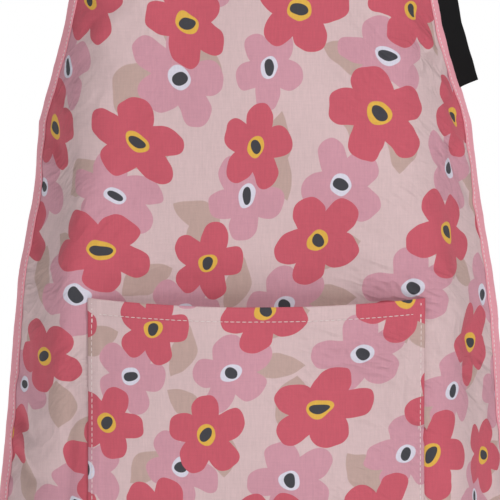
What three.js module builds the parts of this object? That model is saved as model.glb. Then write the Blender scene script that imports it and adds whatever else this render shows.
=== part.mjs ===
// A child's gardening apron in the form it has when worn: a bound bib panel that turns round the front
// of the body, a patch pocket across it, a neck strap, two waist ties knotted behind, and a blank label.
// Millimetres, +Z up. The front faces -Y, and the origin is where the strap rests on the nape.

import * as THREE from 'three';
import { RoundedBoxGeometry } from 'three/addons/geometries/RoundedBoxGeometry.js';

// Panel, measured flat
const bodyLength = 520;
const bibTopWidth = 206;
const waistWidth = 326;
const hemWidth = 408;
const waistDrop = 171; // bib top down to the corner where the ties are sewn
const armholeCurve = 1.75; // 1 cuts the armhole straight, and more hollows it
const hemCornerRadius = 32;
const clothWall = 1.2;

// How the panel is worn
const bibDrop = 80; // nape down to the bib top
const frontReach = 146; // nape forward to the middle of the front
const frontWidth = 212; // across the front between the two side turns
const faceAngle = 10; // degrees that the front turns before each side turn
const sideAngle = 64; // degrees that the cloth faces away beyond it
const turnRadius = 18;

// Edge binding
const bindingWidth = 9;
const bindingWall = 1;

// Patch pocket
const pocketWidth = 199;
const pocketHeight = 150;
const pocketDrop = 272; // bib top down to the mouth's ends
const pocketGape = 15; // how far the mouth stands off the panel
const mouthSag = 4;

// Straps
const strapWidth = 20;
const strapWall = 1.4;
const strapInset = 22; // bib corner in to the strap's middle
const strapOverlap = 24; // sewn to the bib over this length
const neckWidth = 104; // between the two sides of the strap's loop
const tieWidth = 18;
const tieWall = 1.2;
const tieOverlap = 22;
const loopWidth = 252; // between the ties at the wearer's sides
const backReach = 34; // nape back to the ties' middle
const tailLength = 165;
const tailSpread = 22; // sideways, at the tails' free ends
const knotSize = { wide: 25, deep: 14, tall: 20 };

// Side label
const labelLength = 66;
const labelReach = 9.4;
const labelWall = 1.3;
const labelDrop = 83; // bib top down to its upper end
const labelAngle = 24; // degrees that it faces away

// Clearance between sewn layers
const fit = 0.35;

// The worn form, level by level. down is a share of bodyLength, reach of frontReach, flat of half of
// frontWidth, face and side of their angles, and left and right of turnRadius.
const levels = [
  { down: 0.0, reach: 0.82, flat: 0.56, face: 0.8, side: 0.72, left: 3.6, right: 3.3 },
  { down: 0.173, reach: 0.92, flat: 0.62, face: 0.8, side: 0.91, left: 2.9, right: 2.4 },
  { down: 0.242, reach: 0.955, flat: 0.67, face: 0.8, side: 0.97, left: 2.55, right: 2.15 },
  { down: 0.329, reach: 0.975, flat: 0.78, face: 0.9, side: 1.0, left: 1.85, right: 1.7 },
  { down: 0.404, reach: 0.99, flat: 0.86, face: 0.9, side: 1.0, left: 1.2, right: 1.35 },
  { down: 0.519, reach: 1.0, flat: 1.0, face: 1.0, side: 1.0, left: 1.0, right: 1.05 },
  { down: 0.692, reach: 1.0, flat: 1.0, face: 1.0, side: 0.95, left: 1.0, right: 1.05 },
  { down: 1.0, reach: 0.985, flat: 1.0, face: 1.0, side: 0.87, left: 1.9, right: 1.9 },
];

// Soft vertical folds. at is a share of the half width, below 0 on the left, and lean moves it by the
// hem. from and full are shares of bodyLength, wide and deep of hemWidth, and deep is above 0 outwards.
const folds = [
  { at: -0.63, lean: 0.02, from: 0.5, full: 0.66, wide: 0.026, deep: -0.013 },
  { at: -0.8, lean: 0.03, from: 0.52, full: 0.8, wide: 0.036, deep: 0.012 },
  { at: 0.68, lean: -0.02, from: 0.58, full: 0.84, wide: 0.036, deep: 0.01 },
  { at: 0.84, lean: 0.0, from: 0.62, full: 1.0, wide: 0.044, deep: -0.011 },
  { at: -0.36, lean: 0.05, from: 0.8, full: 1.0, wide: 0.06, deep: 0.017 },
  { at: -0.03, lean: 0.0, from: 0.8, full: 1.0, wide: 0.06, deep: -0.013 },
  { at: 0.34, lean: -0.04, from: 0.8, full: 1.0, wide: 0.06, deep: 0.016 },
];

const radians = THREE.MathUtils.degToRad;
const blend = THREE.MathUtils.lerp;
const clothHalf = clothWall / 2;
const bindingInside = clothHalf + fit;
const bindingOutside = bindingInside + bindingWall;

// The value of one column of the levels at a share down the panel, on a smooth curve through its rows.
function levelAt(column, share) {
  const last = levels.length - 1;
  const slope = (i) => {
    const [a, b] = [levels[Math.max(i - 1, 0)], levels[Math.min(i + 1, last)]];
    return (b[column] - a[column]) / (b.down - a.down);
  };
  const found = levels.findIndex((row) => row.down >= share);
  const i = found < 0 ? last - 1 : Math.max(found - 1, 0);
  const [a, b] = [levels[i], levels[i + 1]];
  const step = b.down - a.down;
  const t = THREE.MathUtils.clamp((share - a.down) / step, 0, 1);
  const start = (1 + 2 * t) * (1 - t) ** 2 * a[column] + t * (1 - t) ** 2 * step * slope(i);
  const end = t * t * (3 - 2 * t) * b[column] + t * t * (t - 1) * step * slope(i + 1);
  return start + end;
}

// Half of the flat width at a distance down, before the hem's corners are rounded.
function cutHalfWidth(down) {
  if (down < waistDrop) {
    return blend(bibTopWidth, waistWidth, Math.max(down / waistDrop, 0) ** armholeCurve) / 2;
  }
  return blend(waistWidth, hemWidth, (down - waistDrop) / (bodyLength - waistDrop)) / 2;
}

// Half of the flat width with the rounded corners.
function halfWidth(down) {
  const above = hemCornerRadius - (bodyLength - down);
  const cut = above > 0 ? hemCornerRadius - Math.sqrt(Math.max(hemCornerRadius ** 2 - above ** 2, 0)) : 0;
  return cutHalfWidth(down) - cut;
}

function foldDepth(across, down) {
  const share = down / bodyLength;
  return folds.reduce((sum, fold) => {
    const ramp = THREE.MathUtils.smoothstep(share, fold.from, fold.full);
    const middle = (fold.at + fold.lean * ramp) * cutHalfWidth(down);
    return sum + fold.deep * hemWidth * ramp * Math.exp(-(((across - middle) / (fold.wide * hemWidth)) ** 2));
  }, 0);
}

// The point of the worn cloth at a flat distance across and down, moved outwards by out.
// Each level is a gentle arc across the front, a tighter arc at the side turn and a straight side.
function wornPoint(across, down, out = 0) {
  const share = THREE.MathUtils.clamp(down / bodyLength, 0, 1);
  const distance = Math.abs(across);
  const flat = (levelAt('flat', share) * frontWidth) / 2;
  const face = radians(levelAt('face', share) * faceAngle);
  const side = radians(levelAt('side', share) * sideAngle);
  const turn = levelAt(across < 0 ? 'left' : 'right', share) * turnRadius;
  const frontRadius = flat / face;
  const turnLength = turn * (side - face);
  const angleOnFace = Math.min(distance, flat) / frontRadius;
  const angle = angleOnFace + THREE.MathUtils.clamp(distance - flat, 0, turnLength) / turn;
  const beyond = Math.max(distance - flat - turnLength, 0);
  const x =
    frontRadius * Math.sin(angleOnFace) +
    turn * (Math.sin(angle) - Math.sin(angleOnFace)) +
    beyond * Math.cos(angle);
  const y =
    frontRadius * (1 - Math.cos(angleOnFace)) +
    turn * (Math.cos(angleOnFace) - Math.cos(angle)) +
    beyond * Math.sin(angle);
  const lift = out + foldDepth(across, down);
  const front = -levelAt('reach', share) * frontReach;
  const sign = across < 0 ? -1 : 1;
  return new THREE.Vector3(
    sign * (x + lift * Math.sin(angle)),
    front + y - lift * Math.cos(angle),
    -bibDrop - down
  );
}

// Moves every vertex of a geometry to where place puts it.
function bend(geometry, place) {
  const position = geometry.getAttribute('position');
  const from = new THREE.Vector3();
  for (let i = 0; i < position.count; i++) {
    const to = place(from.fromBufferAttribute(position, i));
    position.setXYZ(i, to.x, to.y, to.z);
  }
  geometry.computeVertexNormals();
  return geometry;
}

// Levels of the panel's own rows of vertices, closer together round the hem's corners.
const straightRows = 26;
const cornerRows = 5;
const rowsDown = [];
for (let i = 0; i <= straightRows; i++) {
  rowsDown.push(((bodyLength - hemCornerRadius) * i) / straightRows);
}
for (let i = 1; i <= cornerRows; i++) {
  const turned = (Math.PI / 2) * (i / cornerRows);
  rowsDown.push(bodyLength - hemCornerRadius * (1 - Math.sin(turned)));
}

// Its columns as shares of half of the cut width: wide apart over the front and close at the sides.
// Those past the last share run on evenly to the edge, and so take up the rounded corners.
const columnShares = [0, 0.06, 0.12, 0.18, 0.24, 0.3, 0.36, 0.42, 0.47];
columnShares.push(0.51, 0.545, 0.58, 0.613, 0.647, 0.68, 0.715, 0.75, 0.785, 0.82);
const edgeColumns = 4;
const sideColumns = columnShares.length - 1 + edgeColumns;

function columnAcross(column, down) {
  const index = Math.abs(column);
  const inner = cutHalfWidth(down) * columnShares[Math.min(index, columnShares.length - 1)];
  const part = Math.max(index - columnShares.length + 1, 0) / edgeColumns;
  return Math.sign(column) * blend(inner, halfWidth(down), part);
}

function panelGeometry() {
  const rows = rowsDown.length - 1;
  const columns = 2 * sideColumns;
  return bend(new THREE.BoxGeometry(columns, 1, rows, columns, 1, rows), ({ x, y, z }) => {
    const down = rowsDown[Math.round(rows / 2 - z)];
    return wornPoint(columnAcross(Math.round(x), down), down, -2 * y * clothHalf);
  });
}

// A folded tape round an edge of the panel. The edge is a list of flat points, each with its inward way.
function bindingGeometry(edge) {
  const nose = -fit - bindingWall;
  const section = new THREE.Shape([
    new THREE.Vector2(bindingWidth, bindingOutside),
    new THREE.Vector2(nose + bindingWall / 2, bindingOutside),
    new THREE.Vector2(nose, bindingInside),
    new THREE.Vector2(nose, -bindingInside),
    new THREE.Vector2(nose + bindingWall / 2, -bindingOutside),
    new THREE.Vector2(bindingWidth, -bindingOutside),
    new THREE.Vector2(bindingWidth, -bindingInside),
    new THREE.Vector2(-fit, -bindingInside),
    new THREE.Vector2(-fit, bindingInside),
    new THREE.Vector2(bindingWidth, bindingInside),
  ]);
  const steps = edge.length - 1;
  const tape = new THREE.ExtrudeGeometry(section, { steps, depth: steps, bevelEnabled: false });
  return bend(tape, ({ x, y, z }) => {
    const at = edge[Math.round(z)];
    return wornPoint(at.across + at.inAcross * x, at.down + at.inDown * x, y);
  });
}

// The side edge from the bib top to where the rounded corner meets the straight hem.
function sideEdge(sign) {
  return rowsDown.map((down) => {
    const above = Math.max(hemCornerRadius - (bodyLength - down), 0) / hemCornerRadius;
    return {
      across: sign * halfWidth(down),
      down,
      inAcross: -sign * Math.sqrt(Math.max(1 - above * above, 0)),
      inDown: -above,
    };
  });
}

// A straight edge at one level, from -reach to +reach.
function levelEdge(reach, down, inDown) {
  const edge = [];
  for (let column = -sideColumns; column <= sideColumns; column++) {
    const across = columnAcross(column, down);
    if (Math.abs(across) < reach - 2) edge.push(across);
  }
  return [-reach, ...edge, reach].map((across) => ({ across, down, inAcross: 0, inDown }));
}

// The pocket's own stand off the panel: nothing at its sides and foot, most at the middle of the mouth.
function pocketStandOff(x, rise) {
  const clear = bindingInside + clothHalf;
  return clear + pocketGape * (1 - Math.abs(x) ** 2.6) * Math.sin((rise * Math.PI) / 2);
}

function pocketGeometry() {
  const [columns, rows] = [24, 14];
  return bend(new THREE.BoxGeometry(2, 1, 1, columns, 1, rows), ({ x, y, z }) => {
    const rise = z + 0.5;
    const sag = mouthSag * (1 - x * x) * rise;
    const down = pocketDrop + pocketHeight * (1 - rise) + sag;
    return wornPoint((x * pocketWidth) / 2, down, pocketStandOff(x, rise) - 2 * y * clothHalf);
  });
}

// A flat tape along a curve. wide gives the way across the tape at each of the curve's points.
function tapeGeometry(points, wide, width, wall, steps, pinch = () => 1) {
  const middle = new THREE.CatmullRomCurve3(points);
  const across = new THREE.CatmullRomCurve3(wide);
  const box = new THREE.BoxGeometry(width, wall, 1, 1, 1, steps);
  return bend(box, ({ x, y, z }) => {
    const t = THREE.MathUtils.clamp(0.5 - z, 0, 1);
    const tangent = middle.getTangent(t);
    const way = across.getPoint(t);
    way.addScaledVector(tangent, -way.dot(tangent)).normalize();
    const normal = new THREE.Vector3().crossVectors(way, tangent);
    return middle.getPoint(t).addScaledVector(way, x * pinch(t)).addScaledVector(normal, y);
  });
}

// How far behind the panel a tape lies when it is sewn over the binding.
// The flat strap behind the turned bib also stands off by the height of the arc under its width.
const bibArc = strapWidth ** 2 / (8 * levels[0].left * turnRadius);
const strapBehind = bindingOutside + fit + strapWall / 2 + bibArc;
const tieBehind = bindingOutside + 2 * fit + tieWall / 2;

// Half of the neck strap. x is a share of half of neckWidth, y of frontReach and z of bibDrop, and
// tilt is the degrees from across the body, at the bib, to upright, at the nape.
const strapRoute = [
  { x: 1.5, y: -0.64, z: -0.66, tilt: 12 },
  { x: 1.34, y: -0.47, z: -0.36, tilt: 28 },
  { x: 1.14, y: -0.3, z: -0.16, tilt: 48 },
  { x: 0.84, y: -0.15, z: -0.06, tilt: 68 },
  { x: 0.44, y: -0.035, z: -0.02, tilt: 82 },
];

function strapGeometry() {
  const sewnAt = bibTopWidth / 2 - strapInset;
  const half = [strapOverlap, strapOverlap / 2, 0].map((down) => ({
    point: wornPoint(sewnAt, down, -strapBehind),
    way: wornPoint(sewnAt + 1, down).sub(wornPoint(sewnAt - 1, down)).normalize(),
  }));
  for (const { x, y, z, tilt } of strapRoute) {
    half.push({
      point: new THREE.Vector3((x * neckWidth) / 2, y * frontReach, z * bibDrop),
      way: new THREE.Vector3(Math.cos(radians(tilt)), 0, -Math.sin(radians(tilt))),
    });
  }
  const nape = { point: new THREE.Vector3(0, strapWall / 2, 0), way: new THREE.Vector3(0, 0, -1) };
  const mirrored = half.map(({ point, way }) => ({
    point: point.clone().setX(-point.x),
    way: way.clone().setX(-way.x),
  }));
  const whole = [...half, nape, ...mirrored.reverse()];
  return tapeGeometry(
    whole.map((row) => row.point),
    whole.map((row) => row.way),
    strapWidth,
    strapWall,
    64
  );
}

// A waist tie from its corner of the panel round the side to the knot, at the height of the waist.
const tieDown = waistDrop + tieWidth / 2;
const tieLevel = -bibDrop - tieDown;

function tieGeometry(sign) {
  const edge = halfWidth(tieDown);
  const sewn = [tieOverlap, tieOverlap / 2, 0].map((inside) => sign * (edge - inside));
  const points = sewn.map((across) => wornPoint(across, tieDown, -tieBehind));
  const upright = sewn.map((across) =>
    wornPoint(across, tieDown - tieWidth / 2).sub(wornPoint(across, tieDown + tieWidth / 2)).normalize()
  );
  const last = points.at(-1);
  const middleY = last.y + tieWidth / 2;
  const half = loopWidth / 2;
  const start = radians(6);
  const end = Math.acos((knotSize.wide / 2 + fit) / half);
  const steps = 7;
  for (let i = 0; i <= steps; i++) {
    const turned = blend(start, end, i / steps);
    const x = sign * half * Math.cos(turned);
    points.push(new THREE.Vector3(x, blend(middleY, backReach, Math.sin(turned)), tieLevel));
    upright.push(new THREE.Vector3(0, 0, 1));
  }
  return tapeGeometry(points, upright.map((way) => way.multiplyScalar(sign)), tieWidth, tieWall, 36);
}

function knotGeometry() {
  const { wide, deep, tall } = knotSize;
  return new RoundedBoxGeometry(wide, deep, tall, 2, deep / 3).translate(0, backReach, tieLevel);
}

// A free end that hangs from under the knot. The two lie one behind the other.
function tailGeometry(sign) {
  const top = tieLevel - knotSize.tall / 2 - 2 * fit;
  const y = backReach + sign * (tieWall / 2 + fit);
  const points = [0, 0.1, 0.4, 0.7, 1].map(
    (share) =>
      new THREE.Vector3(
        sign * (tieWidth / 6 + tailSpread * share ** 1.7),
        y + sign * tieWall * share,
        top - tailLength * share
      )
  );
  const across = points.map(() => new THREE.Vector3(1, 0, 0));
  const pinch = (t) => blend(0.6, 1, THREE.MathUtils.smoothstep(t, 0, 0.3));
  return tapeGeometry(points, across, tieWidth, tieWall, 10, pinch);
}

// The label stands out from the binding of the right armhole, along its edge.
function labelGeometry() {
  const rows = 8;
  const angle = radians(labelAngle);
  const nose = fit + bindingWall + fit;
  const edge = (down) => wornPoint(halfWidth(down) + nose, down);
  return bend(new THREE.BoxGeometry(labelReach, labelWall, 1, 2, 1, rows), ({ x, y, z }) => {
    const down = labelDrop + labelLength * (0.5 - z);
    const along = edge(down + 1).sub(edge(down - 1)).normalize();
    const away = new THREE.Vector3(Math.cos(angle), Math.sin(angle), 0);
    away.addScaledVector(along, -away.dot(along)).normalize();
    const normal = new THREE.Vector3().crossVectors(along, away);
    return edge(down)
      .addScaledVector(away, x + labelReach / 2 + labelWall / 2)
      .addScaledVector(normal, -y);
  });
}

const printedCloth = new THREE.MeshStandardMaterial({ color: 0xdec2c2, roughness: 0.85 });
const pocketCloth = new THREE.MeshStandardMaterial({ color: 0xcf5c6f, roughness: 0.85 });
const bindingCloth = new THREE.MeshStandardMaterial({ color: 0xd98b9c, roughness: 0.8 });
const strapTape = new THREE.MeshStandardMaterial({ color: 0xd98b9c, roughness: 0.85 });
const labelRibbon = new THREE.MeshStandardMaterial({ color: 0x141417, roughness: 0.6 });

const apron = new THREE.Group();

function add(name, geometry, material) {
  const mesh = new THREE.Mesh(geometry, material);
  mesh.name = name;
  apron.add(mesh);
}

add('body_panel', panelGeometry(), printedCloth);
add('pocket', pocketGeometry(), pocketCloth);
add('side_binding_left', bindingGeometry(sideEdge(-1)), bindingCloth);
add('side_binding_right', bindingGeometry(sideEdge(1).reverse()), bindingCloth);
const topReach = bibTopWidth / 2 - bindingWidth - fit;
add('bib_binding', bindingGeometry(levelEdge(topReach, 0, 1).reverse()), bindingCloth);
const hemReach = halfWidth(bodyLength) - fit;
add('hem_binding', bindingGeometry(levelEdge(hemReach, bodyLength, -1)), bindingCloth);
add('neck_strap', strapGeometry(), strapTape);
add('waist_tie_left', tieGeometry(-1), strapTape);
add('waist_tie_right', tieGeometry(1), strapTape);
add('tie_knot', knotGeometry(), strapTape);
add('tie_tail_left', tailGeometry(-1), strapTape);
add('tie_tail_right', tailGeometry(1), strapTape);
add('side_label', labelGeometry(), labelRibbon);

export default apron;
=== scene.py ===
import math

import bmesh
import bpy
from mathutils import Matrix, Vector, noise


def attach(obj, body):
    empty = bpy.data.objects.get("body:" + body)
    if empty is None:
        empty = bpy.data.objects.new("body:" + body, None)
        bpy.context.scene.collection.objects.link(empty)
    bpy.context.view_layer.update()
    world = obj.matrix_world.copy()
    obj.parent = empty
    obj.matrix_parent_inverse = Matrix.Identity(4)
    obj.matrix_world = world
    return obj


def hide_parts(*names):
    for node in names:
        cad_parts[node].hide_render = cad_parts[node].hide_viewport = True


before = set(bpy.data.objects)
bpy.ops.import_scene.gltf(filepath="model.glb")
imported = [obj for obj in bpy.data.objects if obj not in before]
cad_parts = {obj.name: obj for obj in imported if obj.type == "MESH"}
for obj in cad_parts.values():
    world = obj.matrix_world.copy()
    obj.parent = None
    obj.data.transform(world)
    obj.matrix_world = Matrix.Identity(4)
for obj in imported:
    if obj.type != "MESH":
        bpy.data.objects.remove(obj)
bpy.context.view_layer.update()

print("frame loaded:", len(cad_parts), "nodes")


# How the cloth is cut and how it is worn. Lengths are in metres.

cut = {
    "length": 0.520,
    "bibTop": 0.206,
    "waist": 0.326,
    "hem": 0.408,
    "waistDrop": 0.171,
    "armholeCurve": 1.75,
    "cornerRadius": 0.032,
}

worn = {
    "bibDrop": 0.080,
    "reach": 0.146,
    "width": 0.212,
    "face": math.radians(10),
    "side": math.radians(64),
    "turn": 0.018,
}

# The worn form, level by level, as shares of the values above.
levels = [
    {"down": 0.0, "reach": 0.82, "flat": 0.56, "face": 0.8, "side": 0.72, "left": 3.6, "right": 3.3},
    {"down": 0.173, "reach": 0.92, "flat": 0.62, "face": 0.8, "side": 0.91, "left": 2.9, "right": 2.4},
    {"down": 0.242, "reach": 0.955, "flat": 0.67, "face": 0.8, "side": 0.97, "left": 2.55, "right": 2.15},
    {"down": 0.329, "reach": 0.975, "flat": 0.78, "face": 0.9, "side": 1.0, "left": 1.85, "right": 1.7},
    {"down": 0.404, "reach": 0.99, "flat": 0.86, "face": 0.9, "side": 1.0, "left": 1.2, "right": 1.35},
    {"down": 0.519, "reach": 1.0, "flat": 1.0, "face": 1.0, "side": 1.0, "left": 1.0, "right": 1.05},
    {"down": 0.692, "reach": 1.0, "flat": 1.0, "face": 1.0, "side": 0.95, "left": 1.0, "right": 1.05},
    {"down": 1.0, "reach": 0.985, "flat": 1.0, "face": 1.0, "side": 0.87, "left": 1.9, "right": 1.9},
]

# Soft vertical folds. at is a share of the half width, wide and deep of the hem's width.
folds = [
    {"at": -0.63, "lean": 0.02, "from": 0.5, "full": 0.66, "wide": 0.026, "deep": -0.013},
    {"at": -0.8, "lean": 0.03, "from": 0.52, "full": 0.8, "wide": 0.036, "deep": 0.012},
    {"at": 0.68, "lean": -0.02, "from": 0.58, "full": 0.84, "wide": 0.036, "deep": 0.01},
    {"at": 0.84, "lean": 0.0, "from": 0.62, "full": 1.0, "wide": 0.044, "deep": -0.011},
    {"at": -0.36, "lean": 0.05, "from": 0.8, "full": 1.0, "wide": 0.06, "deep": 0.017},
    {"at": -0.03, "lean": 0.0, "from": 0.8, "full": 1.0, "wide": 0.06, "deep": -0.013},
    {"at": 0.34, "lean": -0.04, "from": 0.8, "full": 1.0, "wide": 0.06, "deep": 0.016},
]

# Small dents and ridges: the place on the flat cloth, the turn from level in degrees, and half the length,
# half the width and the height.
creases = [
    {"across": -0.104, "down": 0.112, "turn": 32, "long": 0.022, "wide": 0.0039, "deep": -0.0016},
    {"across": -0.099, "down": 0.120, "turn": 36, "long": 0.026, "wide": 0.0045, "deep": 0.0014},
    {"across": -0.096, "down": 0.101, "turn": 12, "long": 0.020, "wide": 0.0033, "deep": -0.0012},
    {"across": -0.101, "down": 0.095, "turn": 8, "long": 0.018, "wide": 0.0030, "deep": 0.0010},
    {"across": -0.113, "down": 0.136, "turn": 44, "long": 0.020, "wide": 0.0048, "deep": -0.0014},
    {"across": -0.090, "down": 0.060, "turn": 20, "long": 0.024, "wide": 0.0045, "deep": -0.0014},
    {"across": 0.104, "down": 0.106, "turn": -28, "long": 0.018, "wide": 0.0039, "deep": -0.0022},
    {"across": 0.112, "down": 0.120, "turn": -36, "long": 0.020, "wide": 0.0042, "deep": 0.0022},
    {"across": 0.116, "down": 0.133, "turn": -30, "long": 0.018, "wide": 0.0036, "deep": -0.0022},
    {"across": 0.124, "down": 0.147, "turn": -42, "long": 0.018, "wide": 0.0039, "deep": 0.0022},
    {"across": 0.134, "down": 0.160, "turn": -34, "long": 0.020, "wide": 0.0045, "deep": -0.0026},
    {"across": 0.140, "down": 0.182, "turn": -50, "long": 0.024, "wide": 0.0054, "deep": 0.0026},
    {"across": 0.146, "down": 0.204, "turn": -58, "long": 0.028, "wide": 0.0060, "deep": -0.0028},
    {"across": 0.120, "down": 0.282, "turn": 24, "long": 0.016, "wide": 0.0070, "deep": 0.0026},
    {"across": 0.132, "down": 0.297, "turn": 30, "long": 0.020, "wide": 0.0064, "deep": -0.0026},
    {"across": 0.118, "down": 0.306, "turn": 30, "long": 0.014, "wide": 0.0060, "deep": 0.0030},
    {"across": -0.158, "down": 0.352, "turn": -30, "long": 0.020, "wide": 0.0056, "deep": -0.0018},
    {"across": -0.152, "down": 0.366, "turn": -24, "long": 0.022, "wide": 0.0060, "deep": 0.0018},
    {"across": -0.146, "down": 0.380, "turn": -18, "long": 0.022, "wide": 0.0056, "deep": -0.0016},
    {"across": -0.060, "down": 0.262, "turn": 4, "long": 0.040, "wide": 0.0054, "deep": -0.0012},
    {"across": 0.030, "down": 0.466, "turn": 62, "long": 0.030, "wide": 0.0060, "deep": -0.0024},
]


def mix(a, b, t):
    return a + (b - a) * t


def smooth(t, start, end):
    t = min(max((t - start) / (end - start), 0), 1)
    return t * t * (3 - 2 * t)


def levelAt(column, share):
    # The value of one column at a share down the panel, on a smooth curve through the rows.
    last = len(levels) - 1
    i = next((k for k, row in enumerate(levels) if row["down"] >= share), last)
    i = max(i - 1, 0)
    a, b = levels[i], levels[i + 1]
    step = b["down"] - a["down"]

    def slope(k):
        low, high = levels[max(k - 1, 0)], levels[min(k + 1, last)]
        return (high[column] - low[column]) / (high["down"] - low["down"])

    t = min(max((share - a["down"]) / step, 0), 1)
    start = (1 + 2 * t) * (1 - t) ** 2 * a[column] + t * (1 - t) ** 2 * step * slope(i)
    end = t * t * (3 - 2 * t) * b[column] + t * t * (t - 1) * step * slope(i + 1)
    return start + end


levelCache = {}


def levelRow(share):
    key = round(share, 5)
    if key not in levelCache:
        names = ("reach", "flat", "face", "side", "left", "right")
        levelCache[key] = {name: levelAt(name, share) for name in names}
    return levelCache[key]


def cutHalf(down):
    if down < cut["waistDrop"]:
        share = max(down / cut["waistDrop"], 0) ** cut["armholeCurve"]
        return mix(cut["bibTop"], cut["waist"], share) / 2
    share = (down - cut["waistDrop"]) / (cut["length"] - cut["waistDrop"])
    return mix(cut["waist"], cut["hem"], share) / 2


def halfWidth(down):
    above = cut["cornerRadius"] - (cut["length"] - down)
    round_ = math.sqrt(max(cut["cornerRadius"] ** 2 - above ** 2, 0)) if above > 0 else cut["cornerRadius"]
    return cutHalf(down) - cut["cornerRadius"] + round_


def foldDepth(across, down):
    share = down / cut["length"]
    depth = 0
    for fold in folds:
        if share > fold["from"]:
            ramp = smooth(share, fold["from"], fold["full"])
            middle = (fold["at"] + fold["lean"] * ramp) * cutHalf(down)
            far = (across - middle) / (fold["wide"] * cut["hem"])
            depth += fold["deep"] * cut["hem"] * ramp * math.exp(-far * far)
    return depth


def creaseDepth(across, down):
    depth = 0
    for crease in creases:
        x, y = across - crease["across"], crease["down"] - down
        if abs(x) + abs(y) < 0.07:
            c, s = math.cos(math.radians(crease["turn"])), math.sin(math.radians(crease["turn"]))
            along, beside = (x * c + y * s) / crease["long"], (y * c - x * s) / crease["wide"]
            depth += crease["deep"] * math.exp(-along * along - beside * beside)
    return depth


# The cloth's small unevenness. low and high are a wave's height in the middle of the cloth and at its sides,
# across and down say how close its waves lie each way.
ruffles = {
    "broad": {"low": 0.0024, "high": 0.0024, "across": 16, "down": 11, "seed": 3},
    "middle": {"low": 0.0005, "high": 0.0022, "across": 44, "down": 34, "seed": 7},
    "small": {"low": 0.0001, "high": 0.0009, "across": 95, "down": 80, "seed": 9},
    "edge": {"low": 0.0011, "high": 0.0011, "across": 34, "down": 120, "seed": 11},
    "seam": {"low": 0.0007, "high": 0.0007, "across": 40, "down": 125, "seed": 5},
}
pucker = {"inside": 0.013, "wide": 0.009}  # how far inside a bound edge the cloth puckers, and its reach
stiffEdge = {"least": 0.4, "from": 0.003, "to": 0.018}  # the binding holds the cloth flat beside it


def wave(kind, across, down, loose):
    row = ruffles[kind]
    at = Vector((across * row["across"], down * row["down"], row["seed"]))
    return mix(row["low"], row["high"], loose) * noise.noise(at)


def ruffle(across, down):
    # Soft waves that grow towards the sides, with puckers inside the bound edges and beside the pocket.
    half = cutHalf(down)
    loose = smooth(abs(across) / half, 0.45, 0.9)
    lift = sum(wave(kind, across, down, loose) for kind in ("broad", "middle", "small"))
    fromPucker = half - abs(across) - pucker["inside"]
    lift += math.exp(-(fromPucker / pucker["wide"]) ** 2) * wave("edge", across, down, loose)
    if pocket["down"] - 0.004 < down < pocket["down"] + pocket["height"]:
        fromSeam = abs(abs(across) - pocket["width"] / 2)
        near = math.exp(-(fromSeam / pucker["wide"]) ** 2)
        below = smooth(down, pocket["down"] - 0.004, pocket["down"])
        lift += near * below * wave("seam", across, down, loose)
    return lift


def wornPoint(across, down, out=0.0, ruffled=1.0):
    share = min(max(down / cut["length"], 0), 1)
    row = levelRow(share)
    distance = abs(across)
    flat = row["flat"] * worn["width"] / 2
    face = row["face"] * worn["face"]
    side = row["side"] * worn["side"]
    turn = row["left" if across < 0 else "right"] * worn["turn"]
    frontRadius = flat / face
    turnLength = turn * (side - face)
    onFace = min(distance, flat) / frontRadius
    angle = onFace + min(max(distance - flat, 0), turnLength) / turn
    beyond = max(distance - flat - turnLength, 0)
    x = frontRadius * math.sin(onFace) + turn * (math.sin(angle) - math.sin(onFace))
    x += beyond * math.cos(angle)
    y = frontRadius * (1 - math.cos(onFace)) + turn * (math.cos(onFace) - math.cos(angle))
    y += beyond * math.sin(angle)
    lift = out + foldDepth(across, down)
    if ruffled:
        fromEdge = cutHalf(down) - distance
        free = mix(stiffEdge["least"], 1, smooth(fromEdge, stiffEdge["from"], stiffEdge["to"]))
        lift += ruffled * free * (creaseDepth(across, down) + ruffle(across, down))
    sign = -1 if across < 0 else 1
    front = -row["reach"] * worn["reach"]
    return Vector((
        sign * (x + lift * math.sin(angle)),
        front + y - lift * math.cos(angle),
        -worn["bibDrop"] - down,
    ))


# Helpers that turn flat pattern pieces into worn ones. A piece is modelled flat, with x across,
# y up the cloth and z out of its face, and its flat place becomes its UV map.

def drape(bm, place, shift=(0, 0)):
    uv = bm.loops.layers.uv.new("UVMap")
    for face in bm.faces:
        face.smooth = True
        for loop in face.loops:
            loop[uv].uv = (loop.vert.co.x + shift[0], loop.vert.co.y + shift[1])
    for vert in bm.verts:
        vert.co = place(vert.co.x, vert.co.y, vert.co.z)


def onCloth(x, y, z):
    return wornPoint(x, -y, z)


def gridOf(columns, rows, place):
    # A flat grid whose vertex in column i and row j lies at place(i, j).
    bm = bmesh.new()
    bmesh.ops.create_grid(bm, x_segments=columns, y_segments=rows, size=0.5)
    for vert in bm.verts:
        i = round((vert.co.x + 0.5) * columns)
        j = round((0.5 - vert.co.y) * rows)
        vert.co = place(i, j)
    return bm


def addObject(name, data):
    made = bpy.data.objects.new(name, data)
    bpy.context.scene.collection.objects.link(made)
    return made


def addMesh(name, bm, materials):
    mesh = bpy.data.meshes.new(name)
    bm.to_mesh(mesh)
    bm.free()
    for material in materials:
        mesh.materials.append(material)
    return addObject(name, mesh)


def addPiece(name, bm, materials, replaced=(), wall=None, closed=False):
    if closed:
        bmesh.ops.recalc_face_normals(bm, faces=bm.faces)
    piece = addMesh(name, bm, materials)
    if wall:
        solid = piece.modifiers.new("wall", "SOLIDIFY")
        solid.thickness = wall
        solid.offset = 0
        solid.use_even_offset = False
        solid.material_offset = len(materials) - 1
    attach(piece, "root")
    if replaced:
        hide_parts(*replaced)
    return piece


# Shader maths

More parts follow.
